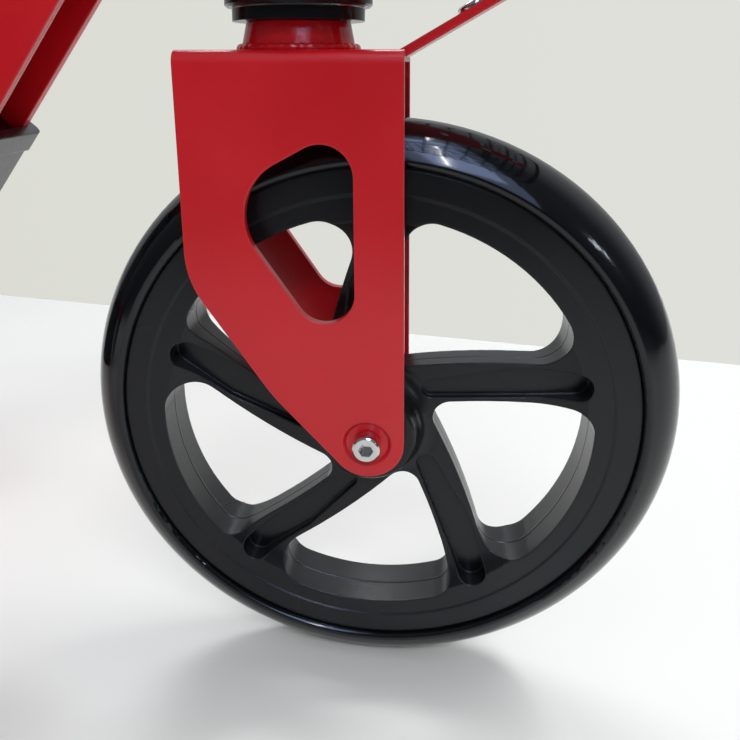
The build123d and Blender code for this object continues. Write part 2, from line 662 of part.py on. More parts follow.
column = ring("z", column_radius, column_inner, socket_floor, column_top, steer_x, 0)
column_slit = column_top - 40
column -= block(steer_x + 8, steer_x + 20, -1.5, 1.5, column_slit, column_top + 1)
save("column_tube", column)
guide = ring("z", column_inner - 0.02, stem_radius + running_gap, column_top - 45, column_top, steer_x, 0)
guide += ring("z", column_radius, stem_radius + running_gap, column_top, column_top + 2.2, steer_x, 0)
save("column_bush", guide)

# Column clamp: a round collar, ears to the front, lever on the left
ring_z1 = column_top - 3
ring_z0 = ring_z1 - clamp_height
ring_outer = column_radius + 5.5
column_collar = rod("z", ring_outer, ring_z0, ring_z1, steer_x, 0)
for ear in clamp_ears(steer_x + ring_outer - 4, 1, ring_z0, ring_z1):
    column_collar += ear
column_collar -= rod("z", column_radius + running_gap, ring_z0 - 1, ring_z1 + 1, steer_x, 0)
column_collar -= block(steer_x, steer_x + 60, -ear_gap, ear_gap, ring_z0 - 1, ring_z1 + 1)
column_skewer_x = steer_x + ring_outer + 5.5
column_clamp_middle = (ring_z0 + ring_z1) / 2
column_collar -= rod("y", skewer_radius + running_gap, -50, 50, column_skewer_x, column_clamp_middle)
save("column_clamp_collar", column_collar)
fold_cam_y = hinge_half + side_gap + cam_radius + 1.0
fold_skewer = clamp_skewer(fold_x, fold_z, -hinge_half - side_gap, fold_cam_y, "x")
column_skewer = clamp_skewer(column_skewer_x, column_clamp_middle, -ear_face, cam_y, "z")
save_group("column_skewers", [fold_skewer, column_skewer])
save("column_clamp_lever", flat_lever(column_skewer_x, cam_y, column_clamp_middle, 1))

# Fold lever: turns about a fore-and-aft axis and lies upwards beside the column
with BuildSketch() as blade:
    with BuildLine():
        fold_line = FilletPolyline((0, 0), (2.0, 18), (3.5, 42), (9.0, 66), radius=20)
    trace(fold_line, 5.5)
    with Locations((9.0, 66)):
        Circle(4.0)
blade_plane = Plane(origin=(fold_x - 6, fold_cam_y, fold_z), x_dir=(0, 1, 0), z_dir=(1, 0, 0))
fold_lever = extrude(blade_plane * blade.sketch, amount=12)
fold_lever += rod("x", cam_radius, fold_x - cam_half, fold_x + cam_half, fold_cam_y, fold_z)
eye_slot = eye_half + slide_gap
fold_lever -= rod("x", cam_radius + 1.5, fold_x - eye_slot, fold_x + eye_slot, fold_cam_y, fold_z)
fold_lever -= rod("x", cam_pin_radius + running_gap, fold_x - 20, fold_x + 20, fold_cam_y, fold_z)
save("fold_lever", fold_lever)

# ================================================================ STEM, HANDLEBAR AND BRAKE LEVER
stem_bottom = column_top - 140
head_radius = 16.0
head_half = 30.0
stem = ring("z", stem_radius, stem_radius - 2.0, stem_bottom, handlebar_height, steer_x, 0)
stem += rod("y", head_radius, -head_half, head_half, steer_x, handlebar_height)
stem -= rod("y", handlebar_radius + running_gap, -50, 50, steer_x, handlebar_height)
save("stem_tube", stem)

bar_half = handlebar_width / 2 - 4
bar = ring("y", handlebar_radius, handlebar_radius - 2.0, -bar_half, bar_half, steer_x, handlebar_height)
save("handlebar", bar)
grips = []
for side in (-1, 1):
    inner_end = side * (handlebar_width / 2 - grip_length)
    outer_end = side * handlebar_width / 2
    y0, y1 = sorted((inner_end, outer_end))
    grip = rod("y", grip_radius, y0, y1, steer_x, handlebar_height)
    grip = fillet(grip.edges().filter_by(GeomType.CIRCLE), 3.0)
    f0, f1 = sorted((inner_end, inner_end + side * 5))
    grip += rod("y", grip_radius + 4, f0, f1, steer_x, handlebar_height)
    b0, b1 = sorted((inner_end - side, side * (bar_half + 0.1)))
    grip -= rod("y", handlebar_radius + running_gap, b0, b1, steer_x, handlebar_height)
    grips.append(grip)
save_group("handlebar_grips", grips)

perch_y = -(handlebar_width / 2 - grip_length) + 14      # middle of the perch, right of the stem
pivot = (steer_x + 28, perch_y)
lever_half = 4.0
perch = rod("y", 16.0, perch_y - 8, perch_y + 8, steer_x, handlebar_height)
perch += block(steer_x + 8, steer_x + 20, perch_y - 8, perch_y + 8, handlebar_height - 8.5, handlebar_height + 8.5)
for side in (-1, 1):
    z0, z1 = sorted((side * (lever_half + 0.35), side * 8.5))
    perch += block(steer_x + 18, steer_x + 34, perch_y - 8, perch_y + 8, handlebar_height + z0, handlebar_height + z1)
perch = fillet(perch.edges().filter_by(Axis.Z).filter_by(lambda e: e.center().X > steer_x + 33), 5.0)
adjuster_x = steer_x + 14
adjuster_radius = 2.8
perch -= rod("y", handlebar_radius + running_gap, perch_y - 20, perch_y + 20, steer_x, handlebar_height)
perch -= rod("z", 2.4 + running_gap, 0, 1000, pivot[0], pivot[1])
button_z = handlebar_height + 16
button_radius = 3.4
perch += rod("z", 5.2, handlebar_height + 12, button_z + 3.0, steer_x, perch_y)
perch -= rod("z", button_radius + 0.1, handlebar_height + 13, button_z + 9, steer_x, perch_y)
save("brake_perch", perch)
button = rod("z", button_radius, handlebar_height + 16.5, button_z + 7, steer_x, perch_y)
button = fillet(button.edges().filter_by(GeomType.CIRCLE).sort_by(Axis.Z)[-1], 1.0)
save("parking_lock_button", button)
adjuster = ring("y", 5.0, 1.2, perch_y + 8.0, perch_y + 20, adjuster_x + 10, handlebar_height)
adjuster += ring("y", 3.4, 1.2, perch_y + 20, perch_y + 27, adjuster_x + 10, handlebar_height)
save("cable_adjuster", adjuster)
save("lever_pivot_pin", rod("z", 2.4, handlebar_height - 9.5, handlebar_height + 9.5, pivot[0], pivot[1]))

with BuildSketch() as lever:
    with BuildLine():
        lever_line = FilletPolyline((0, 0), (20, -16), (32, -48), (33, -84), (30, -116), radius=22)
    trace(lever_line, 9.0)
    Circle(6.2)
    with Locations((30, -116)):
        Circle(6.0)
brake_lever = flat(lever.sketch, pivot[0], pivot[1], handlebar_height - lever_half, handlebar_height + lever_half)
brake_lever = fillet(brake_lever.faces().filter_by(Axis.Z).edges(), 1.6)
brake_lever -= rod("z", 2.4 + running_gap, 0, 1000, pivot[0], pivot[1])
save("brake_lever", brake_lever)

# ================================================================ REAR BRAKE
brake_pivot = (rear_x + 52, axle_z + 104)
bracket_y1 = plate_inner - 8
bracket_y0 = bracket_y1 - 5
with BuildSketch() as bracket_outline:
    with BuildLine():
        Polyline((-18, 38), (20, 38), (62, 98), (58, 112), (46, 112), (-18, 52), (-18, 38))
    make_face()
    for point in ((62, 98), (58, 112), (46, 112), (-18, 52)):
        fillet(bracket_outline.vertices().sort_by_distance(point)[0], 4.0)
bracket = upright(bracket_outline.sketch, rear_x, axle_z, bracket_y0, bracket_y1)
bracket += rod("y", 4.0, bracket_y1, bracket_y1 + 11, *brake_pivot)
bracket += rod("y", 6.0, bracket_y1 + 9.2, bracket_y1 + 11.5, *brake_pivot)
save("brake_bracket", bracket)
arm_y0 = bracket_y1 + 0.4
arm_y1 = arm_y0 + 6.0
brake_swing = 3.0            # degrees from rest to the tyre
brake_contact_gap = 0.4
shoe_gap = 3.0
shoe_height = 12.0
shoe_x = rear_x + 6
shoe_base = axle_z + wheel_radius + shoe_gap + shoe_height
with BuildSketch() as arm_outline:
    with BuildLine():
        Polyline((62, 104), (52, 116), (10, 124), (-4, 124), (-4, 114), (40, 100), (44, 78), (56, 76), (62, 104))
    make_face()
    fillet(arm_outline.vertices(), 3.5)
arm = upright(arm_outline.sketch, rear_x, axle_z, arm_y0, arm_y1)
arm += block(rear_x - 4, rear_x + 16, arm_y0, rear_half_track + 12, shoe_base, shoe_base + 5)
arm -= rod("y", 4.0 + running_gap, 0, 400, *brake_pivot)
save("brake_arm", arm)
shoe = block(rear_x - 14, rear_x + 26, rear_half_track - 11, rear_half_track + 11, shoe_base - shoe_height - 2, shoe_base)
swing = math.radians(brake_swing)
arm_dx = rear_x - brake_pivot[0]
arm_dz = axle_z - brake_pivot[1]
hollow_x = brake_pivot[0] + arm_dx * math.cos(swing) + arm_dz * math.sin(swing)
hollow_z = brake_pivot[1] - arm_dx * math.sin(swing) + arm_dz * math.cos(swing)
shoe -= rod("y", wheel_radius + brake_contact_gap, 0, 400, hollow_x, hollow_z)
save("brake_shoe", shoe)

# ================================================================ BASKET AND ITS SUPPORTS
basket_front = front_x + front_overhang
basket_back = steer_x + 31.5
basket_half = basket_width / 2
basket_middle = (basket_front + basket_back) / 2
basket_depth = basket_front - basket_back
tray_screw_x = (front_x + 76, front_x + 104)
bracket_screw_y = (-32, 32)
bracket_z = basket_floor + 108.0
bracket_height = 22.0
bracket_middle = bracket_z + bracket_height / 2
outer = flat(RectangleRounded(basket_depth, basket_width, 22.0), basket_middle, 0, basket_floor,
             basket_floor + basket_height)
outer -= flat(RectangleRounded(basket_depth - 2 * basket_wall, basket_width - 2 * basket_wall, 19.5), basket_middle, 0,
              basket_floor + basket_wall, basket_floor + basket_height + 1)
for x in tray_screw_x:
    outer -= rod("z", screw_hole, basket_floor - 1, basket_floor + 10, x, 0)
for y in bracket_screw_y:
    outer -= rod("x", screw_hole, basket_back - 1, basket_back + 10, y, bracket_middle)
save("basket", outer)

# Saddle welded to the front of the steering stub, with a plate for the basket's back
saddle = rod("z", 22.0, bracket_z, bracket_z + bracket_height, steer_x, 0)
saddle += block(steer_x + 14, basket_back, -16, 16, bracket_z, bracket_z + bracket_height)
saddle += block(basket_back - 3, basket_back, -42, 42, bracket_z, bracket_z + bracket_height)
saddle -= rod("z", 17.5, bracket_z - 1, bracket_z + 30, steer_x, 0)
saddle -= block(steer_x - 40, steer_x - 4, -50, 50, bracket_z - 1, bracket_z + 30)
for y in bracket_screw_y:
    saddle -= rod("x", screw_hole, basket_back - 10, basket_back + 10, y, bracket_middle)
save("basket_bracket", saddle)

strap_thickness = 2.5
strap_half = 12.0
foot_x = front_x + 4.0
foot_z = crown_z - 1.6
tray_z = basket_floor - strap_thickness / 2
rise_x = 43.0
rise_z = 23.9
with BuildSketch() as strap_band:
    with BuildLine():
        strap_line = FilletPolyline((foot_x, foot_z), (foot_x + rise_x, foot_z + rise_z), (front_x + 56, tray_z),
                                    (front_x + 118, tray_z), radius=6.0)
    trace(strap_line, strap_thickness)
strap = upright(strap_band.sketch, 0, 0, -strap_half, strap_half) - fork
strap = strap.solids().sort_by(SortBy.VOLUME)[-1]
for x in tray_screw_x:
    strap -= rod("z", screw_hole, tray_z - 5, tray_z + 5, x, 0)
cap_share = (24.5 - 4.0) / rise_x
cap_x = foot_x + rise_x * cap_share
cap_z = foot_z + rise_z * cap_share
cap_place = Pos(cap_x, 0, cap_z) * Rot(0, -math.degrees(math.atan2(rise_z, rise_x)), 0)
strap -= cap_place * Cylinder(screw_hole, 20)
save("basket_strap", strap)

# Screws of the steered part: basket floor, strap, basket back and stub clamp
screw_head = 4.4
screws = []
for x in tray_screw_x:
    screws.append(socket_screw("z", screw_head, 2.8, small_screw, tray_z - strap_thickness / 2, basket_floor + 6, x, 0))
cap_height = 1.8
cap = Pos(0, 0, strap_thickness / 2) * Cylinder(screw_head, cap_height, align=(Align.CENTER, Align.CENTER, Align.MIN))
cap = fillet(cap.edges().filter_by(GeomType.CIRCLE).sort_by(Axis.Z)[-1], 1.2)
cap += Cylinder(small_screw, strap_thickness)
screws.append(cap_place * cap)
for y in bracket_screw_y:
    screws.append(socket_screw("x", screw_head, 2.8, small_screw, basket_back - 3, basket_back + 6, y, bracket_middle))
for z in stub_screw_z:
    screws.append(socket_screw("y", screw_head, 4.6, small_screw, -7, 7, steer_x - 21, z))
save_group("steering_screws", screws)
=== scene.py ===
import math
import random

import bmesh
import bpy
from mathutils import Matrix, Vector


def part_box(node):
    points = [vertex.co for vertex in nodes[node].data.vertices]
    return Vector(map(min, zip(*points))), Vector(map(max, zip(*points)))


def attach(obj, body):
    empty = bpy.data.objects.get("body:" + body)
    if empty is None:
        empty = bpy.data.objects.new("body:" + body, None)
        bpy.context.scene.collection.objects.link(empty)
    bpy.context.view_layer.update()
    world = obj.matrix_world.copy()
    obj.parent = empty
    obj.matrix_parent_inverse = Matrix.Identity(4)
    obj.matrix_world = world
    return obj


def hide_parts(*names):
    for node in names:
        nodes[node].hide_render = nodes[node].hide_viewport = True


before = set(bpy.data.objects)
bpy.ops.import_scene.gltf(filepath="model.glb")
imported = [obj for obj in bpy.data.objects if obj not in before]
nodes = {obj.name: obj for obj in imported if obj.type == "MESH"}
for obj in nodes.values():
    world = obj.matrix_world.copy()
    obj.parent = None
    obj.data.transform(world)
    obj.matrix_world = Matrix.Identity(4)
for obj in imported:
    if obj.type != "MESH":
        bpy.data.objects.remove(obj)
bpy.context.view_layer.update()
scene = bpy.context.scene


# ---------------------------------------------------------------- Room, light and camera
# The scooter stands on a plain pale vinyl floor under soft ceiling panels. The camera is
# low and close to the front wheel, on the rider's right, and looks slightly down.
def low(name):
    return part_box(name)[0]


def high(name):
    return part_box(name)[1]


def middle(name):
    return [(a + b) / 2 for a, b in zip(*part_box(name))]


def deselect():
    if bpy.context.object and bpy.context.object.mode != "OBJECT":
        bpy.ops.object.mode_set(mode="OBJECT")
    bpy.ops.object.select_all(action="DESELECT")


def node(tree, kind, inputs=None, **settings):
    made = tree.nodes.new(kind)
    for key, value in settings.items():
        setattr(made, key, value)
    for key, value in (inputs or {}).items():
        if isinstance(value, bpy.types.NodeSocket):
            tree.links.new(value, made.inputs[key])
        else:
            made.inputs[key].default_value = value
    return made


def shade(name, **values):
    """A material with its Principled shader, whose fixed values are set on its own sockets."""
    material = bpy.data.materials.new(name)
    material.use_nodes = True
    tree = material.node_tree
    shader = tree.nodes["Principled BSDF"]
    for key, value in values.items():
        shader.inputs[key.replace("_", " ")].default_value = value
    place = tree.nodes.new("ShaderNodeTexCoord").outputs["Object"]
    return material, tree, shader, place


axle = middle("front_tyre")
deselect()
bpy.ops.mesh.primitive_plane_add(size=9, location=(0, 0, -0.0002))
floor = bpy.context.object
floor.name = "floor"
vinyl, tree, shader, place = shade("floor_vinyl", Base_Color=(0.765, 0.772, 0.755, 1), Roughness=0.34)
shader.inputs["Specular IOR Level"].default_value = 0.35
cloud = node(tree, "ShaderNodeTexNoise", {"Vector": place, "Scale": 3.0, "Detail": 3.0})
gloss = node(tree, "ShaderNodeMapRange", {"Value": cloud.outputs["Fac"], "To Min": 0.28, "To Max": 0.42})
tree.links.new(gloss.outputs["Result"], shader.inputs["Roughness"])
# In reflections only, the floor from a step in front of the scooter is painted dark grey: a painted dark reflection of
# the room.
far = node(tree, "ShaderNodeSeparateXYZ", {"Vector": place})
beyond = node(tree, "ShaderNodeMapRange", {"Value": far.outputs["Y"], "From Min": -0.40, "From Max": -0.75})
reflected_floor_shade = node(tree, "ShaderNodeMath", {0: beyond.outputs["Result"],
                                         1: node(tree, "ShaderNodeLightPath").outputs["Is Glossy Ray"]},
                operation="MULTIPLY")
dim = node(tree, "ShaderNodeBsdfDiffuse", {"Color": (0.10, 0.10, 0.10, 1)})
either = node(tree, "ShaderNodeMixShader", {0: reflected_floor_shade.outputs["Value"], 1: shader.outputs["BSDF"],
                                            2: dim.outputs["BSDF"]})
tree.links.new(either.outputs["Shader"], tree.nodes["Material Output"].inputs["Surface"])
floor.data.materials.append(vinyl)

# A plain pale wall stands behind the scooter, glowing with painted light instead of being lit. It shows only from the
# front, and casts nothing.
deselect()
bpy.ops.mesh.primitive_plane_add(size=9, location=(0.1875, 0.370, 0), rotation=(math.pi / 2, 0, -0.1137))
wall = bpy.context.object
wall.name = "wall"
wall.visible_diffuse = wall.visible_glossy = wall.visible_shadow = wall.visible_transmission = False
paper = bpy.data.materials.new("wall_painted_glow")
paper.use_nodes = True
tree = paper.node_tree
tree.nodes.remove(tree.nodes["Principled BSDF"])
spot = node(tree, "ShaderNodeSeparateXYZ", {"Vector": tree.nodes.new("ShaderNodeTexCoord").outputs["Object"]})
# The glow is painted a little darker towards the left, as painted light fall-off across the wall.
painted_falloff = node(tree, "ShaderNodeMapRange", {"Value": spot.outputs["X"], "From Min": -0.6, "From Max": 0.5})
wall_painted_light = node(tree, "ShaderNodeMix", {0: painted_falloff.outputs["Result"], 6: (0.70, 0.70, 0.64, 1),
                                             7: (0.745, 0.755, 0.715, 1)}, data_type="RGBA")
pale = node(tree, "ShaderNodeEmission", {"Color": wall_painted_light.outputs[2]})
clear = node(tree, "ShaderNodeBsdfTransparent")
one_sided = node(tree, "ShaderNodeMixShader", {0: node(tree, "ShaderNodeNewGeometry").outputs["Backfacing"],
                                               1: pale.outputs["Emission"], 2: clear.outputs["BSDF"]})
tree.links.new(one_sided.outputs["Shader"], tree.nodes["Material Output"].inputs["Surface"])
wall.data.materials.append(paper)

world = bpy.data.worlds.new("room")
scene.world = world
world.use_nodes = True
tree = world.node_tree
plain = tree.nodes["Background"]
plain.inputs["Color"].default_value = (0.73, 0.74, 0.70, 1)
plain.inputs["Strength"].default_value = 1.0
direction = node(tree, "ShaderNodeTexCoord").outputs["Generated"]
split = node(tree, "ShaderNodeSeparateXYZ", {"Vector": direction})
ramp = node(tree, "ShaderNodeValToRGB", {"Fac": split.outputs["Z"]})
ramp.color_ramp.elements[0].position = 0.0
ramp.color_ramp.elements[0].color = (0.16, 0.16, 0.16, 1)
ramp.color_ramp.elements[1].position = 0.6
ramp.color_ramp.elements[1].color = (0.80, 0.84, 0.90, 1)
behind = node(tree, "ShaderNodeMapRange", {"Value": split.outputs["Y"], "From Min": -0.1, "From Max": 0.7,
                                          "To Min": 0.0, "To Max": 0.5})
bright_side = node(tree, "ShaderNodeMix", {0: behind.outputs["Result"], 6: ramp.outputs["Color"],
                                           7: (0.9, 0.92, 0.92, 1)}, data_type="RGBA")
# The room behind the camera is dim where gloss mirrors it.
front = node(tree, "ShaderNodeMapRange", {"Value": split.outputs["Y"], "From Min": -0.25, "From Max": 0.25,
                                         "To Min": 0.30, "To Max": 1.0})
gloss_only = node(tree, "ShaderNodeMix", {0: node(tree, "ShaderNodeLightPath").outputs["Is Glossy Ray"], 2: 1.0,
                                          3: front.outputs["Result"]}, data_type="FLOAT")
power = node(tree, "ShaderNodeMath", {0: gloss_only.outputs[0], 1: 0.75}, operation="MULTIPLY")
lit = node(tree, "ShaderNodeBackground", {"Color": bright_side.outputs[2], "Strength": power.outputs["Value"]})
seen = node(tree, "ShaderNodeLightPath").outputs["Is Camera Ray"]
both = node(tree, "ShaderNodeMixShader", {0: seen, 1: lit.outputs["Background"], 2: plain.outputs["Background"]})
tree.links.new(both.outputs["Shader"], tree.nodes["World Output"].inputs["Surface"])


def panel(name, place, aim, size, power, colour=(1, 1, 1)):
    light = bpy.data.lights.new(name, "AREA")
    light.shape = "RECTANGLE"
    light.size, light.size_y = size
    light.energy = power
    light.color = colour
    lamp = bpy.data.objects.new(name, light)
    scene.collection.objects.link(lamp)
    lamp.location = place
    direction = [a - b for a, b in zip(aim, place)]
    across = math.hypot(direction[0], direction[1])
    lamp.rotation_euler = (math.atan2(across, -direction[2]), 0, math.atan2(direction[1], direction[0]) - math.pi / 2)
    return lamp


panel("ceiling_right", (1.5, 0.7, 2.3), (0.2, 0, 0.1), (1.5, 0.35), 34, (1.0, 0.99, 0.97)).visible_glossy = False
panel("ceiling_back", (-0.5, 1.7, 2.2), (0.1, 0, 0.1), (1.6, 0.35), 22, (0.97, 0.99, 1.0))
panel("ceiling_front", (0.9, -1.9, 2.2), (0.2, 0, 0.1), (1.6, 0.5), 26, (1.0, 0.99, 0.98)).visible_glossy = False

# A skylight, two lamp tubes and a far window show only as reflections in the gloss.
above = (axle[0] + 0.02, axle[1], axle[2] + 0.09)
sky_blue = (0.47, 0.61, 1.0)
mirrored_lights = [
    panel("skylight", (0.70, -1.27, 1.81), above, (1.05, 2.3), 16, sky_blue),
    panel("skylight_middle", (0.66, -1.20, 1.78), above, (0.62, 1.6), 14, sky_blue),
]
for word, spot, reach, strength in (("near", (0.65, -1.33, 1.78), 1.25, 7.0), ("far", (0.57, -0.26, 2.25), 0.45, 2.6)):
    tube = panel(f"lamp_tube_{word}", spot, above, (0.03, reach), strength, (1.0, 0.99, 0.96))
    tube.rotation_euler = (math.atan2(above[1] - spot[1], spot[2] - above[2]), 0, 0)
    mirrored_lights.append(tube)
for step, (turn, rise) in enumerate(((-0.10, 0.02), (0.02, 0.10), (0.13, -0.03))):
    spot = (axle[0] + 2.30 + turn, axle[1] - 1.76 + 0.9 * turn, 1.10 + rise)
    mirrored_lights.append(panel(f"window_{step}", spot, above, (0.05, 0.15), 1.1, (0.80, 0.90, 1.0)))
for lamp in mirrored_lights:
    lamp.visible_diffuse = False

camera_data = bpy.data.cameras.new("camera")
camera_data.sensor_width = 36
camera_data.lens = 34.98
camera_data.shift_x = 0.081
camera_data.clip_start = 0.01
camera = bpy.data.objects.new("camera", camera_data)
scene.collection.objects.link(camera)
camera.location = (axle[0] + 0.0152, axle[1] - 0.2282, axle[2] + 0.1145)
camera.rotation_euler = (math.pi / 2 - 0.403, 0, 0.163)
scene.camera = camera
scene.view_settings.view_transform = "Standard"


# ---------------------------------------------------------------- Shared surface effects
# Real edges are never sharp: paint and moulded plastic roll over them and catch the light.
# This group rounds the shading at edges and says where they are.
def new_group(name, inputs, outputs):
    group = bpy.data.node_groups.new(name, "ShaderNodeTree")
    for word, kind, value in inputs:
        socket = group.interface.new_socket(word, in_out="INPUT", socket_type=kind)
        if value is not None:
            socket.default_value = value
    for word, kind in outputs:
        group.interface.new_socket(word, in_out="OUTPUT", socket_type=kind)
    return group, group.nodes.new("NodeGroupInput").outputs, group.nodes.new("NodeGroupOutput").inputs


NUMBER = "NodeSocketFloat"
ARROW = "NodeSocketVector"
round_edges, given, result = new_group("round_edges", [("Radius", NUMBER, 0.0006)],
                                       [("Normal", ARROW), ("Edge", NUMBER)])
rounded = node(round_edges, "ShaderNodeBevel", {"Radius": given["Radius"]}, samples=4)
true_normal = node(round_edges, "ShaderNodeNewGeometry").outputs["Normal"]
agree = node(round_edges, "ShaderNodeVectorMath", {0: rounded.outputs["Normal"], 1: true_normal},
             operation="DOT_PRODUCT")
mask = node(round_edges, "ShaderNodeMapRange", {"Value": agree.outputs["Value"], "From Min": 0.995,
                                               "From Max": 0.80, "To Min": 0.0, "To Max": 1.0})
round_edges.links.new(rounded.outputs["Normal"], result["Normal"])
round_edges.links.new(mask.outputs["Result"], result["Edge"])

# A fine grain: two sizes of noise, as a height for the bump and a tone that drifts slowly.
grain, given, result = new_group("grain", [("Place", ARROW, None), ("Fine", NUMBER, 900.0), ("Broad", NUMBER, 25.0)],
                                 [("Height", NUMBER), ("Tone", NUMBER), ("Fleck", NUMBER)])
fine = node(grain, "ShaderNodeTexNoise", {"Vector": given["Place"], "Scale": given["Fine"], "Detail": 2.0})
broad = node(grain, "ShaderNodeTexNoise", {"Vector": given["Place"], "Scale": given["Broad"], "Detail": 4.0})
speck = node(grain, "ShaderNodeTexNoise", {"Vector": given["Place"], "Scale": 1400.0, "Detail": 1.0})
fleck = node(grain, "ShaderNodeMapRange", {"Value": speck.outputs["Fac"], "From Min": 0.70, "From Max": 0.78})
grain.links.new(fine.outputs["Fac"], result["Height"])
grain.links.new(broad.outputs["Fac"], result["Tone"])
grain.links.new(fleck.outputs["Result"], result["Fleck"])

# Dust settles on what faces up, thinly and in patches.
dust, given, result = new_group("dust", [("Place", ARROW, None), ("Amount", NUMBER, 0.3)], [("Mask", NUMBER)])
facing = node(dust, "ShaderNodeSeparateXYZ", {"Vector": node(dust, "ShaderNodeNewGeometry").outputs["Normal"]})
patch = node(dust, "ShaderNodeTexNoise", {"Vector": given["Place"], "Scale": 60.0, "Detail": 6.0})
up = node(dust, "ShaderNodeMapRange", {"Value": facing.outputs["Z"], "From Min": 0.2, "From Max": 1.0})
thick = node(dust, "ShaderNodeMath", {0: up.outputs["Result"], 1: patch.outputs["Fac"]}, operation="MULTIPLY")
total = node(dust, "ShaderNodeMath", {0: thick.outputs["Value"], 1: given["Amount"]}, operation="MULTIPLY")
dust.links.new(total.outputs["Value"], result["Mask"])


def use(tree, group, **inputs):
    made = tree.nodes.new("ShaderNodeGroup")
    made.node_tree = group
    for key, value in inputs.items():
        if isinstance(value, bpy.types.NodeSocket):
            tree.links.new(value, made.inputs[key])
        else:
            made.inputs[key].default_value = value
    return made.outputs


def spread(tree, value, start, end):
    return node(tree, "ShaderNodeMapRange", {"Value": value, "From Min": 0.25, "From Max": 0.75,
                                             "To Min": start, "To Max": end}).outputs["Result"]


def blend_colour(tree, edge_highlight_share, first, second):
    made = node(tree, "ShaderNodeMix", {0: edge_highlight_share, 6: first, 7: second}, data_type="RGBA")
    return made.outputs[2]


def surface(name, colour, other, roughness, spread_by=0.05, fine=900.0, bump=0.05, depth=0.0002, radius=0.0006,
            edge=None, edge_highlight_amount=0.5, dusty=0.0, dust_colour=(0.5, 0.48, 0.46, 1), **values):
    """A finish with drifting colour, uneven gloss, fine bump, rounded edges painted lighter as a highlight, and a
    little dust.
    """
    material, tree, shader, place = shade(name, **values)
    texture = use(tree, grain, Place=place, Fine=fine)
    edges = use(tree, round_edges, Radius=radius)
    tone = blend_colour(tree, spread(tree, texture["Tone"], 0.0, 1.0), (*colour, 1), (*other, 1))
    # The edge colour is a painted highlight laid along the rounded edges.
    if edge:
        edge_highlight_share = node(tree, "ShaderNodeMath", {0: edges["Edge"], 1: edge_highlight_amount}, operation="MULTIPLY")
        tone = blend_colour(tree, edge_highlight_share.outputs["Value"], tone, (*edge, 1))
    if dusty:
        film = use(tree, dust, Place=place, Amount=dusty)["Mask"]
        tone = blend_colour(tree, film, tone, dust_colour)
    tree.links.new(tone, shader.inputs["Base Color"])
    gloss = spread(tree, texture["Tone"], roughness - spread_by, roughness + spread_by)
    tree.links.new(gloss, shader.inputs["Roughness"])
    relief = node(tree, "ShaderNodeBump", {"Height": texture["Height"], "Normal": edges["Normal"],
                                           "Strength": bump, "Distance": depth})
    tree.links.new(relief.outputs["Normal"], shader.inputs["Normal"])
    return material


def finish_nodes(material, *names):
    for name in names:
        mesh = nodes[name]
        if not mesh.material_slots:
            mesh.data.materials.append(material)
        for place in mesh.material_slots:
            place.material = material


# ---------------------------------------------------------------- Wheels
# Each wheel is a glossy solid polyurethane tyre cast round a charcoal nylon core with five
# swept, pocketed spokes. The cores keep a fine parting line at mid depth.
tyre_gloss = surface("tyre_gloss", (0.0022, 0.0024, 0.0034), (0.0040, 0.0045, 0.0062), 0.10, 0.04, fine=190.0,
                     bump=0.035, depth=0.0003, radius=0.0008, Coat_Weight=0.2, Coat_Roughness=0.03,
                     Specular_IOR_Level=0.34)
finish_nodes(tyre_gloss, "front_tyre", "rear_left_tyre", "rear_right_tyre")
# The core's edges are painted a lighter grey as a painted highlight.
core_satin = surface("core_satin", (0.0046, 0.0050, 0.0062), (0.0080, 0.0084, 0.0100), 0.27, 0.05, fine=1500.0,
                     bump=0.10, depth=0.0001, radius=0.0010, edge=(0.04, 0.042, 0.046), edge_highlight_amount=0.35,
                     dusty=0.03, Specular_IOR_Level=0.34)
finish_nodes(core_satin, "front_wheel_core", "rear_left_wheel_core", "rear_right_wheel_core")
# The two halves of the mould meet at mid depth and leave a fine raised line inside every window.
tree = core_satin.node_tree
place = node(tree, "ShaderNodeSeparateXYZ", {"Vector": tree.nodes["Texture Coordinate"].outputs["Object"]})
track = node(tree, "ShaderNodeMath", {0: place.outputs["Y"]}, operation="ABSOLUTE")
rear = node(tree, "ShaderNodeMath", {0: track.outputs["Value"], 1: middle("rear_left_tyre")[1]}, operation="SUBTRACT")
rear_depth = node(tree, "ShaderNodeMath", {0: rear.outputs["Value"]}, operation="ABSOLUTE")
depth = node(tree, "ShaderNodeMath", {0: track.outputs["Value"], 1: rear_depth.outputs["Value"]}, operation="MINIMUM")
line = node(tree, "ShaderNodeMapRange", {"Value": depth.outputs["Value"], "From Min": 0.0006, "From Max": 0.0001})
relief = [one for one in tree.nodes if one.bl_idname == "ShaderNodeBump"][0]
ridge = node(tree, "ShaderNodeBump", {"Height": line.outputs["Result"], "Strength": 1.0, "Distance": 0.0006,
                                      "Normal": relief.outputs["Normal"]})
tree.links.new(ridge.outputs["Normal"], tree.nodes["Principled BSDF"].inputs["Normal"])
bearing_steel = surface("bearing_steel", (0.42, 0.42, 0.43), (0.52, 0.52, 0.53), 0.26, 0.06, Metallic=1.0)
finish_nodes(bearing_steel, "front_wheel_bearings", "rear_wheel_bearings", "headset_bearings")
zinc = surface("zinc_plate", (0.52, 0.52, 0.51), (0.62, 0.62, 0.60), 0.30, 0.08, Metallic=1.0)
finish_nodes(zinc, "front_axle_spacers", "rear_axle_spacers", "cable_adjuster")
bright = surface("bright_steel", (0.62, 0.61, 0.59), (0.74, 0.73, 0.71), 0.10, 0.04, radius=0.0004, Metallic=1.0)
finish_nodes(bright, "front_axle_screw", "front_axle_sleeve", "rear_axle_bolts", "board_screws", "steering_screws",
             "knee_clamp_skewer", "column_skewers", "hinge_pin", "lever_pivot_pin")
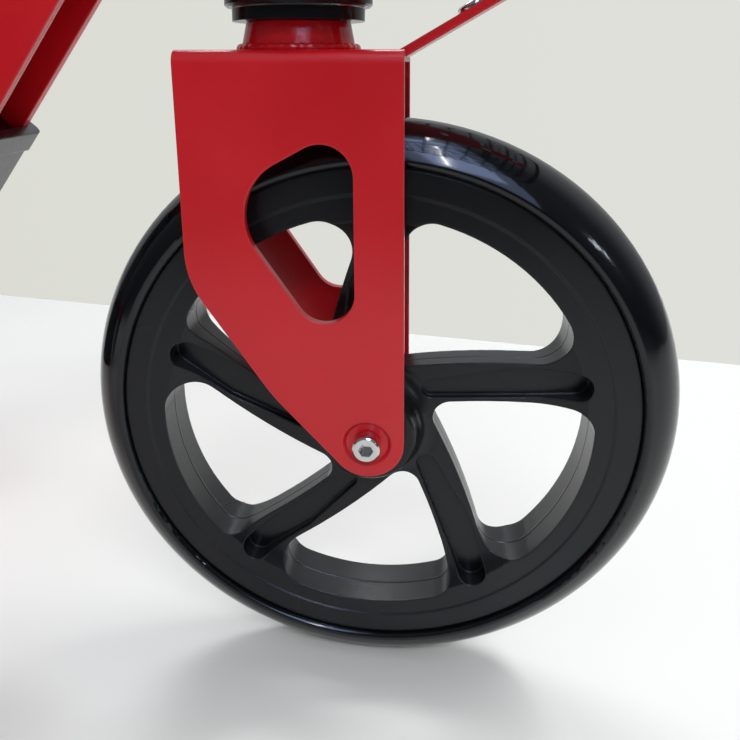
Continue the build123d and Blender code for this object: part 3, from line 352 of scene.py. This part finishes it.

# ---------------------------------------------------------------- Painted steel
# Fork, tubes, plates and brackets are steel under a glossy red powder coat, with a pale pink
# highlight painted along the edges.
red_coat = surface("red_powder_coat", (0.53, 0.0045, 0.010), (0.60, 0.006, 0.013), 0.30, 0.04, fine=520.0, bump=0.05,
                   depth=0.0003, radius=0.0009, edge=(0.80, 0.10, 0.11), edge_highlight_amount=0.40, Coat_Weight=0.26,
                   Coat_Roughness=0.10, Specular_IOR_Level=0.38)
# Over the welds the same red coat is painted darker, as painted shade, with a pink highlight painted on its edges.
red_weld_painted_shade = surface("red_over_weld_painted_dark", (0.34, 0.0030, 0.006), (0.44, 0.004, 0.009), 0.15, 0.05, fine=170.0, bump=0.55,
                   depth=0.0006, edge=(0.80, 0.12, 0.13), edge_highlight_amount=0.2, Coat_Weight=0.1, Coat_Roughness=0.06,
                   Specular_IOR_Level=0.28)
finish_nodes(red_weld_painted_shade, "steerer_tube")
finish_nodes(red_coat, "fork_plate", "head_tube", "frame_beam", "base_rail", "rear_crossbeam",
             "axle_plates", "knee_post_socket", "top_brace", "basket_strap", "basket_bracket", "steering_stub",
             "brake_bracket", "brake_arm")
# The black coat's edges are painted lighter as a painted highlight.
black_coat = surface("black_powder_coat", (0.010, 0.010, 0.011), (0.015, 0.015, 0.016), 0.33, 0.05, fine=520.0,
                     bump=0.06, depth=0.0003, edge=(0.05, 0.05, 0.052), edge_highlight_amount=0.4, Coat_Weight=0.2,
                     Coat_Roughness=0.15)
finish_nodes(black_coat, "hinge_head", "column_tube", "knee_post")
headset_black = surface("headset_black", (0.0025, 0.0025, 0.003), (0.005, 0.005, 0.006), 0.16, 0.04, radius=0.0003,
                        Specular_IOR_Level=0.22)
finish_nodes(headset_black, "crown_race", "lower_headset_cup", "upper_headset_cup", "headset_top_nut")
# The moulded plastic's edges are painted lighter as a painted highlight.
moulded = surface("moulded_black", (0.013, 0.012, 0.013), (0.020, 0.018, 0.019), 0.30, 0.05, fine=1200.0, bump=0.12,
                  depth=0.0001, radius=0.0009, edge=(0.08, 0.06, 0.062), edge_highlight_amount=0.4, Coat_Weight=0.15)
finish_nodes(moulded, "beam_collar", "knee_socket_bush", "column_bush", "brake_perch", "parking_lock_button",
             "basket", "handlebar_grips", "brake_shoe", "knee_cushion")
alloy = surface("bare_alloy", (0.58, 0.585, 0.59), (0.66, 0.665, 0.67), 0.28, 0.06, fine=700.0, Metallic=1.0)
finish_nodes(alloy, "knee_clamp_collar", "column_clamp_collar", "knee_clamp_lever", "column_clamp_lever", "fold_lever",
             "stem_tube", "handlebar", "brake_lever")
plywood = surface("black_plywood", (0.022, 0.020, 0.018), (0.034, 0.030, 0.027), 0.6, 0.08, fine=300.0, bump=0.3)
finish_nodes(plywood, "knee_board")



# ---------------------------------------------------------------- Welds
# The fork crown, the tubes of the frame and the knee-post socket are welded before painting,
# so each joint has a low, rippled bead under the red coat.
def edit(*objects):
    deselect()
    for thing in objects:
        thing.select_set(True)
    bpy.context.view_layer.objects.active = objects[0]
    bpy.ops.object.mode_set(mode="EDIT")


def choose(thing, kind, test):
    """Selects only those edges or faces of the piece being edited that pass the test."""
    bpy.ops.mesh.select_mode(type=kind)
    bpy.ops.mesh.select_all(action="DESELECT")
    shape = bmesh.from_edit_mesh(thing.data)
    for element in (shape.edges if kind == "EDGE" else shape.faces):
        if test(element):
            element.select = True
    bmesh.update_edit_mesh(thing.data)


def edge_run(edge, axis):
    return abs(edge.verts[0].co[axis] - edge.verts[1].co[axis])


def settle(thing, name, material, body):
    """Leaves a finished piece at the origin with its finish, riding on its body."""
    deselect()
    thing.select_set(True)
    bpy.context.view_layer.objects.active = thing
    bpy.ops.object.transform_apply(location=True, rotation=True, scale=True)
    thing.name = name
    thing.data.name = name
    thing.data.materials.clear()
    thing.data.materials.append(material)
    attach(thing, body)
    return thing


def edges_to_wire(thing, radius, sides=2):
    """Turns a mesh of bare edges into round wire of that radius."""
    deselect()
    thing.select_set(True)
    bpy.context.view_layer.objects.active = thing
    bpy.ops.object.convert(target="CURVE")
    thing.data.bevel_depth = radius
    thing.data.bevel_resolution = sides
    thing.data.use_fill_caps = True
    bpy.ops.object.convert(target="MESH")
    bpy.ops.object.shade_smooth()
    return thing


def ripple(thing, centre, axis, count, rise):
    """Swells a bead a little at every step round its centre, as welding leaves it."""
    across = [i for i in range(3) if i != axis]
    for point in thing.data.vertices:
        angle = math.atan2(point.co[across[1]] - centre[across[1]], point.co[across[0]] - centre[across[0]])
        swell = rise * math.sin(angle * count)
        point.co += point.normal * swell


def round_weld(name, centre, radius, bead, body):
    deselect()
    bpy.ops.mesh.primitive_torus_add(major_radius=radius, minor_radius=bead, major_segments=144, minor_segments=10,
                                     location=centre)
    ring = bpy.context.object
    bpy.ops.object.transform_apply(location=True)
    ripple(ring, centre, 2, 36, bead * 0.10)
    bpy.ops.object.shade_smooth()
    return settle(ring, name, red_weld_painted_shade, body)


def square_weld(name, centre, size, corner, bead, body, turn=(0, 0, 0)):
    """A bead round a rectangular tube that ends on a flat face."""
    deselect()
    bpy.ops.mesh.primitive_plane_add(size=1)
    loop = bpy.context.object
    loop.scale = (size[0], size[1], 1)
    bpy.ops.object.transform_apply(scale=True)
    edit(loop)
    bpy.ops.mesh.select_all(action="SELECT")
    bpy.ops.mesh.bevel(offset=corner, segments=5, affect="VERTICES")
    bpy.ops.mesh.select_all(action="SELECT")
    bpy.ops.mesh.delete(type="ONLY_FACE")
    bpy.ops.mesh.select_all(action="SELECT")
    bpy.ops.mesh.subdivide(number_cuts=5)
    bpy.ops.object.mode_set(mode="OBJECT")
    loop.rotation_euler = turn
    loop.location = centre
    bpy.ops.object.transform_apply(location=True, rotation=True)
    edges_to_wire(loop, bead)
    return settle(loop, name, red_weld_painted_shade, body)


crown = low("steerer_tube")
steer_x = middle("steerer_tube")[0]
round_weld("crown_weld", (steer_x, 0, crown[2] + 0.0004), 0.0169, 0.0013, "steering")
knee_x = middle("knee_post_socket")[0]
rail_top = high("base_rail")[2]
square_weld("socket_weld", (knee_x, 0, rail_top), (0.0412, 0.0412), 0.0045, 0.0020, "frame")
rear_face = low("base_rail")[0]
square_weld("rail_weld", (rear_face, 0, middle("base_rail")[2]), (0.0395, 0.0512), 0.0045, 0.0020, "frame",
            (0, math.pi / 2, 0))
for word, side in (("left", 1), ("right", -1)):
    place = (middle("rear_crossbeam")[0], side * high("rear_crossbeam")[1], middle("rear_crossbeam")[2])
    square_weld(f"axle_plate_weld_{word}", place, (0.0405, 0.0405), 0.0045, 0.0018, "frame", (math.pi / 2, 0, 0))
brace_place = (high("knee_post_socket")[0], 0, middle("top_brace")[2])
deselect()
bpy.ops.mesh.primitive_torus_add(major_radius=0.0112, minor_radius=0.0016, major_segments=96, minor_segments=8,
                                 location=brace_place, rotation=(0, math.pi / 2, 0))
brace_bead = bpy.context.object
bpy.ops.object.shade_smooth()
settle(brace_bead, "brace_weld", red_weld_painted_shade, "frame")


# ---------------------------------------------------------------- Rail end plug
# A black moulded plug closes the open front end of the low rail.
deselect()
rail_low, rail_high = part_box("base_rail")
bpy.ops.mesh.primitive_cube_add(size=1, location=(rail_high[0] - 0.0015, 0, middle("base_rail")[2]))
plug = bpy.context.object
plug.scale = (0.003, rail_high[1] * 2 - 0.0005, rail_high[2] - rail_low[2] - 0.0005)
bpy.ops.object.transform_apply(location=True, scale=True)
edit(plug)
choose(plug, "EDGE", lambda edge: edge_run(edge, 0) > 0.001)
bpy.ops.mesh.bevel(offset=0.004, segments=4)
choose(plug, "FACE", lambda face: face.normal.x > 0.9)
bpy.ops.mesh.inset(thickness=0.004)
bpy.ops.mesh.extrude_region_move(TRANSFORM_OT_translate={"value": (-0.0012, 0, 0)})
bpy.ops.object.mode_set(mode="OBJECT")
bpy.ops.object.shade_smooth_by_angle(angle=0.6)
settle(plug, "rail_end_plug", moulded, "frame")


# ---------------------------------------------------------------- Basket
# The basket is black coated steel wire: upright and level wires welded at every crossing, with
# a thicker rim and a thicker frame round the floor.
def rounded_loop(length, width, corner, height, cuts):
    """The outline of the basket at one height, its long sides divided evenly."""
    deselect()
    bpy.ops.mesh.primitive_plane_add(size=1)
    loop = bpy.context.object
    loop.scale = (length, width, 1)
    bpy.ops.object.transform_apply(scale=True)
    edit(loop)
    bpy.ops.mesh.select_all(action="SELECT")
    bpy.ops.mesh.bevel(offset=corner, segments=3, affect="VERTICES")
    bpy.ops.mesh.select_all(action="SELECT")
    bpy.ops.mesh.delete(type="ONLY_FACE")
    for along, number in ((0, cuts[0]), (1, cuts[1])):
        choose(loop, "EDGE", lambda edge: edge_run(edge, along) > corner * 1.5)
        if number:
            bpy.ops.mesh.subdivide(number_cuts=number)
    bpy.ops.object.mode_set(mode="OBJECT")
    basket_low, basket_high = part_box("basket")
    loop.location = ((basket_low[0] + basket_high[0]) / 2, 0, height)
    bpy.ops.object.transform_apply(location=True)
    return loop


wire_coat = surface("wire_coating", (0.008, 0.008, 0.009), (0.012, 0.012, 0.013), 0.30, 0.05, fine=800.0, bump=0.10,
                    Coat_Weight=0.2, Coat_Roughness=0.1)
basket_low, basket_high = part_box("basket")
length = basket_high[0] - basket_low[0]
width = basket_high[1] - basket_low[1]
wire = 0.00125
rim_wire = 0.0030
wall_cuts = (3, 8)
steps = 6
wall_length = length - 2 * wire - 0.003
wall_width = width - 2 * wire - 0.003
corner_bend = 0.022
rise = (basket_high[2] - basket_low[2] - 2 * rim_wire) / steps
level = rounded_loop(wall_length, wall_width, corner_bend, basket_low[2] + rim_wire + rise, (0, 0))
edges_to_wire(level, wire, 1)
wires = [level]
for step in range(1, steps - 1):
    higher = level.copy()
    higher.data = level.data.copy()
    scene.collection.objects.link(higher)
    higher.location.z += rise * step
    wires.append(higher)

uprights = rounded_loop(wall_length, wall_width, corner_bend, basket_low[2] + rim_wire, wall_cuts)
edit(uprights)
bpy.ops.mesh.select_all(action="SELECT")
bpy.ops.mesh.extrude_edges_move(TRANSFORM_OT_translate={"value": (0, 0, rise * steps)})
bpy.ops.mesh.select_all(action="SELECT")
bpy.ops.mesh.delete(type="ONLY_FACE")
choose(uprights, "EDGE", lambda edge: edge_run(edge, 2) < rise)
bpy.ops.mesh.delete(type="EDGE")
edges_to_wire(uprights, wire, 1)
wires.append(uprights)

# The floor wires run both ways, and stop short at the rounded corners.
deselect()
basket_x = (basket_low[0] + basket_high[0]) / 2
bpy.ops.mesh.primitive_grid_add(x_subdivisions=7, y_subdivisions=11, size=1,
                                location=(basket_x, 0, basket_low[2] + wire * 1.2))
lengthwise = bpy.context.object
lengthwise.scale = (length - 0.006, width - 0.006, 1)
bpy.ops.object.transform_apply(location=True, scale=True)
for point in lengthwise.data.vertices:
    if abs(point.co.x - basket_x) > length / 2 - 0.004 and abs(point.co.y) > width / 2 - 0.004:
        point.co.x -= math.copysign(0.006, point.co.x - basket_x)
        point.co.y -= math.copysign(0.006, point.co.y)
crosswise = lengthwise.copy()
crosswise.data = lengthwise.data.copy()
scene.collection.objects.link(crosswise)
for run, along in ((lengthwise, 0), (crosswise, 1)):
    edit(run)
    bpy.ops.mesh.select_all(action="SELECT")
    bpy.ops.mesh.delete(type="ONLY_FACE")
    choose(run, "EDGE", lambda edge: edge_run(edge, along) < edge_run(edge, 1 - along))
    bpy.ops.mesh.delete(type="EDGE")
    edges_to_wire(run, wire, 1)
    wires.append(run)

for height, thick in ((basket_high[2] - rim_wire, rim_wire), (basket_low[2] + rim_wire, rim_wire * 0.8)):
    hoop = rounded_loop(length - 2 * rim_wire, width - 2 * rim_wire, corner_bend, height, (0, 0))
    edges_to_wire(hoop, thick, 3)
    wires.append(hoop)
deselect()
for part in wires:
    part.select_set(True)
bpy.context.view_layer.objects.active = level
bpy.ops.object.join()
wire_basket = settle(level, "wire_basket", wire_coat, "steering")
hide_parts("basket")


# ---------------------------------------------------------------- Handlebar grips
# Each grip is soft black rubber with a flange at its inner end, rings cut round it for the
# fingers and a domed closed end.
rubber = surface("grip_rubber", (0.014, 0.014, 0.0145), (0.022, 0.022, 0.0225), 0.62, 0.06, fine=1300.0, bump=0.35,
                 depth=0.00015, radius=0.0006, dusty=0.12)
finish_nodes(rubber, "brake_shoe", "handlebar_grips")
grip_low, grip_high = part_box("handlebar_grips")
bar_place = middle("handlebar")
grip_end = grip_high[1]
grip_start = grip_end - 0.126
for word, side in (("left", 1), ("right", -1)):
    deselect()
    bpy.ops.mesh.primitive_cylinder_add(vertices=48, radius=0.0158, depth=0.126, rotation=(math.pi / 2, 0, 0),
                                        location=(bar_place[0], side * (grip_start + grip_end) / 2, bar_place[2]))
    grip = bpy.context.object
    bpy.ops.object.transform_apply(location=True, rotation=True)
    edit(grip)
    cuts = [0.005, 0.0065, 0.012]
    ring = 0.018
    while ring < 0.112:
        cuts += [ring, ring + 0.0016, ring + 0.0052, ring + 0.0068]
        ring += 0.0098
    for cut in cuts:
        bpy.ops.mesh.select_all(action="SELECT")
        bpy.ops.mesh.bisect(plane_co=(0, side * (grip_start + cut), 0), plane_no=(0, 1, 0))
    bpy.ops.object.mode_set(mode="OBJECT")
    for point in grip.data.vertices:
        reach = abs(point.co.y) - grip_start
        out = math.hypot(point.co.x - bar_place[0], point.co.z - bar_place[2])
        if out < 0.001:
            continue
        wanted = 0.0158
        if reach < 0.0055:
            wanted = 0.0198
        elif reach < 0.113:
            turn = (reach - 0.018) % 0.0098
            groove = 0.0012 if reach > 0.0175 and 0.0010 < turn < 0.0058 else 0.0
            wanted = 0.0150 + 0.0010 * math.sin(math.pi * min(1, max(0, reach / 0.12))) - groove
        share = wanted / out
        point.co.x = bar_place[0] + (point.co.x - bar_place[0]) * share
        point.co.z = bar_place[2] + (point.co.z - bar_place[2]) * share
    edit(grip)
    choose(grip, "FACE", lambda face: abs(face.normal.y) > 0.9 and abs(face.calc_center_median().y) > grip_end - 0.001)
    bpy.ops.mesh.inset(thickness=0.004)
    bpy.ops.mesh.inset(thickness=0.004)
    bpy.ops.mesh.extrude_region_move(TRANSFORM_OT_translate={"value": (0, -side * 0.0012, 0)})
    bpy.ops.object.mode_set(mode="OBJECT")
    soften = grip.modifiers.new("soften", "BEVEL")
    soften.width = 0.0004
    soften.segments = 2
    soften.limit_method = "ANGLE"
    soften.angle_limit = 0.6
    bpy.ops.object.modifier_apply(modifier="soften")
    bpy.ops.object.shade_smooth_by_angle(angle=0.7)
    settle(grip, f"grip_{word}", rubber, "handlebars")
    if side == 1:
        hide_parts("handlebar_grips")


# ---------------------------------------------------------------- Knee cushion
# A foam block under a stitched black vinyl cover: two crowned lobes for the shin with a sewn
# channel between them, and piping round the top and bottom seams.
cushion_low, cushion_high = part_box("knee_cushion")
cushion_centre = [(a + b) / 2 for a, b in zip(cushion_low, cushion_high)]
cushion_size = [b - a for a, b in zip(cushion_low, cushion_high)]
vinyl_cover, tree, shader, place = shade("vinyl_cover", Coat_Weight=0.08, Coat_Roughness=0.3)
texture = use(tree, grain, Place=place, Fine=420.0, Broad=18.0)
pores = node(tree, "ShaderNodeTexVoronoi", {"Vector": place, "Scale": 620.0}, feature="DISTANCE_TO_EDGE")
creases = node(tree, "ShaderNodeTexNoise", {"Vector": place, "Scale": 46.0, "Detail": 6.0, "Distortion": 1.2})
tone = blend_colour(tree, spread(tree, texture["Tone"], 0.0, 1.0), (0.012, 0.012, 0.013, 1), (0.020, 0.020, 0.022, 1))
worn = use(tree, dust, Place=place, Amount=0.06)["Mask"]
tree.links.new(blend_colour(tree, worn, tone, (0.10, 0.10, 0.105, 1)), shader.inputs["Base Color"])
tree.links.new(spread(tree, texture["Tone"], 0.42, 0.56), shader.inputs["Roughness"])
wrinkle = node(tree, "ShaderNodeBump", {"Height": creases.outputs["Fac"], "Strength": 0.25, "Distance": 0.0012})
leather = node(tree, "ShaderNodeBump", {"Height": pores.outputs["Distance"], "Strength": 0.30, "Distance": 0.00025,
                                        "Normal": wrinkle.outputs["Normal"]})
tree.links.new(leather.outputs["Normal"], shader.inputs["Normal"])

deselect()
bpy.ops.mesh.primitive_cube_add(size=1, location=(cushion_centre[0], 0, cushion_centre[2] - 0.002))
cushion = bpy.context.object
cushion.scale = (cushion_size[0] - 0.012, cushion_size[1] - 0.012, cushion_size[2] - 0.013)
bpy.ops.object.transform_apply(location=True, scale=True)
edit(cushion)
choose(cushion, "EDGE", lambda edge: edge_run(edge, 2) > 0.01)
bpy.ops.mesh.bevel(offset=0.040, segments=10)
for height, roll in ((1, 0.012), (-1, 0.006)):
    choose(cushion, "EDGE", lambda edge: all((v.co.z - cushion_centre[2]) * height > 0.015 for v in edge.verts)
           and any(abs(face.normal.z) < 0.1 for face in edge.link_faces))
    bpy.ops.mesh.bevel(offset=roll, segments=4)
bpy.ops.object.mode_set(mode="OBJECT")
remesh = cushion.modifiers.new("remesh", "REMESH")
remesh.mode = "VOXEL"
remesh.voxel_size = 0.0045
bpy.ops.object.modifier_apply(modifier="remesh")
before = [point.co.copy() for point in cushion.data.vertices]
cloth = cushion.modifiers.new("cloth", "CLOTH")
cloth.settings.use_pressure = True
cloth.settings.uniform_pressure_force = 4
cloth.settings.effector_weights.gravity = 0
cloth.point_cache.frame_end = 20
for number in range(1, 21):
    scene.frame_set(number)
deselect()
cushion.select_set(True)
bpy.context.view_layer.objects.active = cushion
bpy.ops.object.modifier_apply(modifier="cloth")
scene.frame_set(1)
for start, point in zip(before, cushion.data.vertices):
    move = point.co - start
    if move.length > 0.006:
        point.co = start + move * (0.006 / move.length)
calm = cushion.modifiers.new("calm", "SMOOTH")
calm.factor = 0.6
calm.iterations = 14
bpy.ops.object.modifier_apply(modifier="calm")
finer = cushion.modifiers.new("finer", "SUBSURF")
finer.levels = finer.render_levels = 1
bpy.ops.object.modifier_apply(modifier="finer")

# Sewing: the channel between the lobes and the two piped seams draw the cover in.
half_length, half_width = cushion_size[0] / 2, cushion_size[1] / 2
seams = (cushion_low[2] + 0.009, cushion_high[2] - 0.014)
floor_z = cushion_low[2] + 0.0006
for point in cushion.data.vertices:
    place = point.co
    rise = (place.z - cushion_low[2]) / cushion_size[2]
    along = (place.x - cushion_centre[0]) / half_length
    across = place.y / half_width
    top = min(1, max(0, (rise - 0.72) * 6))
    lobes = 0.0032 * (1 - min(1, along * along)) * (1 - min(1, (abs(across) * 2 - 0.95) ** 2))
    channel = 0.0085 * math.exp(-(place.y / 0.0065) ** 2) * min(1, max(0, (0.90 - abs(along)) * 9))
    place.z += top * (lobes - channel)
    side = math.hypot(max(0, abs(place.x - cushion_centre[0]) - half_length + 0.05),
                      max(0, abs(place.y) - half_width + 0.05)) / 0.05
    if side > 0.8:
        drawn = sum(0.0022 * math.exp(-((place.z - seam) / 0.0028) ** 2) for seam in seams)
        drawn += 0.0016 * (1 - min(1, along * along)) * min(1, max(0, (abs(across) - 0.8) * 6))
        outward = Vector((point.normal.x, point.normal.y, 0))
        place -= outward * drawn
    place.z = min(cushion_high[2] + 0.0025, max(floor_z, place.z))
    place.y = max(-half_width, min(half_width, place.y))
    place.x = max(cushion_low[0], min(cushion_high[0], place.x))
bpy.ops.object.shade_smooth()
settle(cushion, "knee_pad_cushion", vinyl_cover, "knee_support")
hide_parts("knee_cushion")

# Piping: a cord under its own strip of vinyl, sewn into each seam.
piping_vinyl = surface("piping_vinyl", (0.010, 0.010, 0.011), (0.018, 0.018, 0.019), 0.36, 0.05, fine=700.0, bump=0.2)
for word, seam in zip(("lower", "upper"), seams):
    piping = cushion.copy()
    piping.data = cushion.data.copy()
    scene.collection.objects.link(piping)
    edit(piping)
    bpy.ops.mesh.select_all(action="SELECT")
    bpy.ops.mesh.bisect(plane_co=(0, 0, seam), plane_no=(0, 0, 1), clear_inner=True, clear_outer=True)
    bpy.ops.mesh.select_all(action="SELECT")
    bpy.ops.mesh.remove_doubles(threshold=0.0012)
    bpy.ops.object.mode_set(mode="OBJECT")
    edges_to_wire(piping, 0.0017)
    settle(piping, f"knee_pad_piping_{word}", piping_vinyl, "knee_support")

# Stitches: a row of grey thread along each side of the channel.
thread = surface("sewing_thread", (0.22, 0.22, 0.225), (0.30, 0.30, 0.31), 0.6, 0.05, fine=3000.0, bump=0.4)
deselect()
stitch_rows = 0.026
bpy.ops.mesh.primitive_grid_add(x_subdivisions=101, y_subdivisions=1, size=1,
                                location=(cushion_centre[0], 0, cushion_high[2] + 0.02))
stitches = bpy.context.object
stitches.scale = (cushion_size[0] * 0.86, stitch_rows, 1)
bpy.ops.object.transform_apply(location=True, scale=True)
edit(stitches)
bpy.ops.mesh.select_all(action="SELECT")
bpy.ops.mesh.delete(type="ONLY_FACE")
pitch = cushion_size[0] * 0.86 / 101
start_x = cushion_centre[0] - cushion_size[0] * 0.43
choose(stitches, "EDGE", lambda edge: edge_run(edge, 1) > 0.001
       or int((edge.verts[0].co.x + edge.verts[1].co.x - 2 * start_x) / 2 / pitch) % 2 == 1)
bpy.ops.mesh.delete(type="EDGE")
bpy.ops.object.mode_set(mode="OBJECT")
bpy.context.view_layer.update()
for point in stitches.data.vertices:
    met, spot, facing, index = cushion.ray_cast(point.co, (0, 0, -1))
    if met:
        point.co.z = spot.z + 0.0002
edges_to_wire(stitches, 0.00055, 1)
settle(stitches, "knee_pad_stitches", thread, "knee_support")
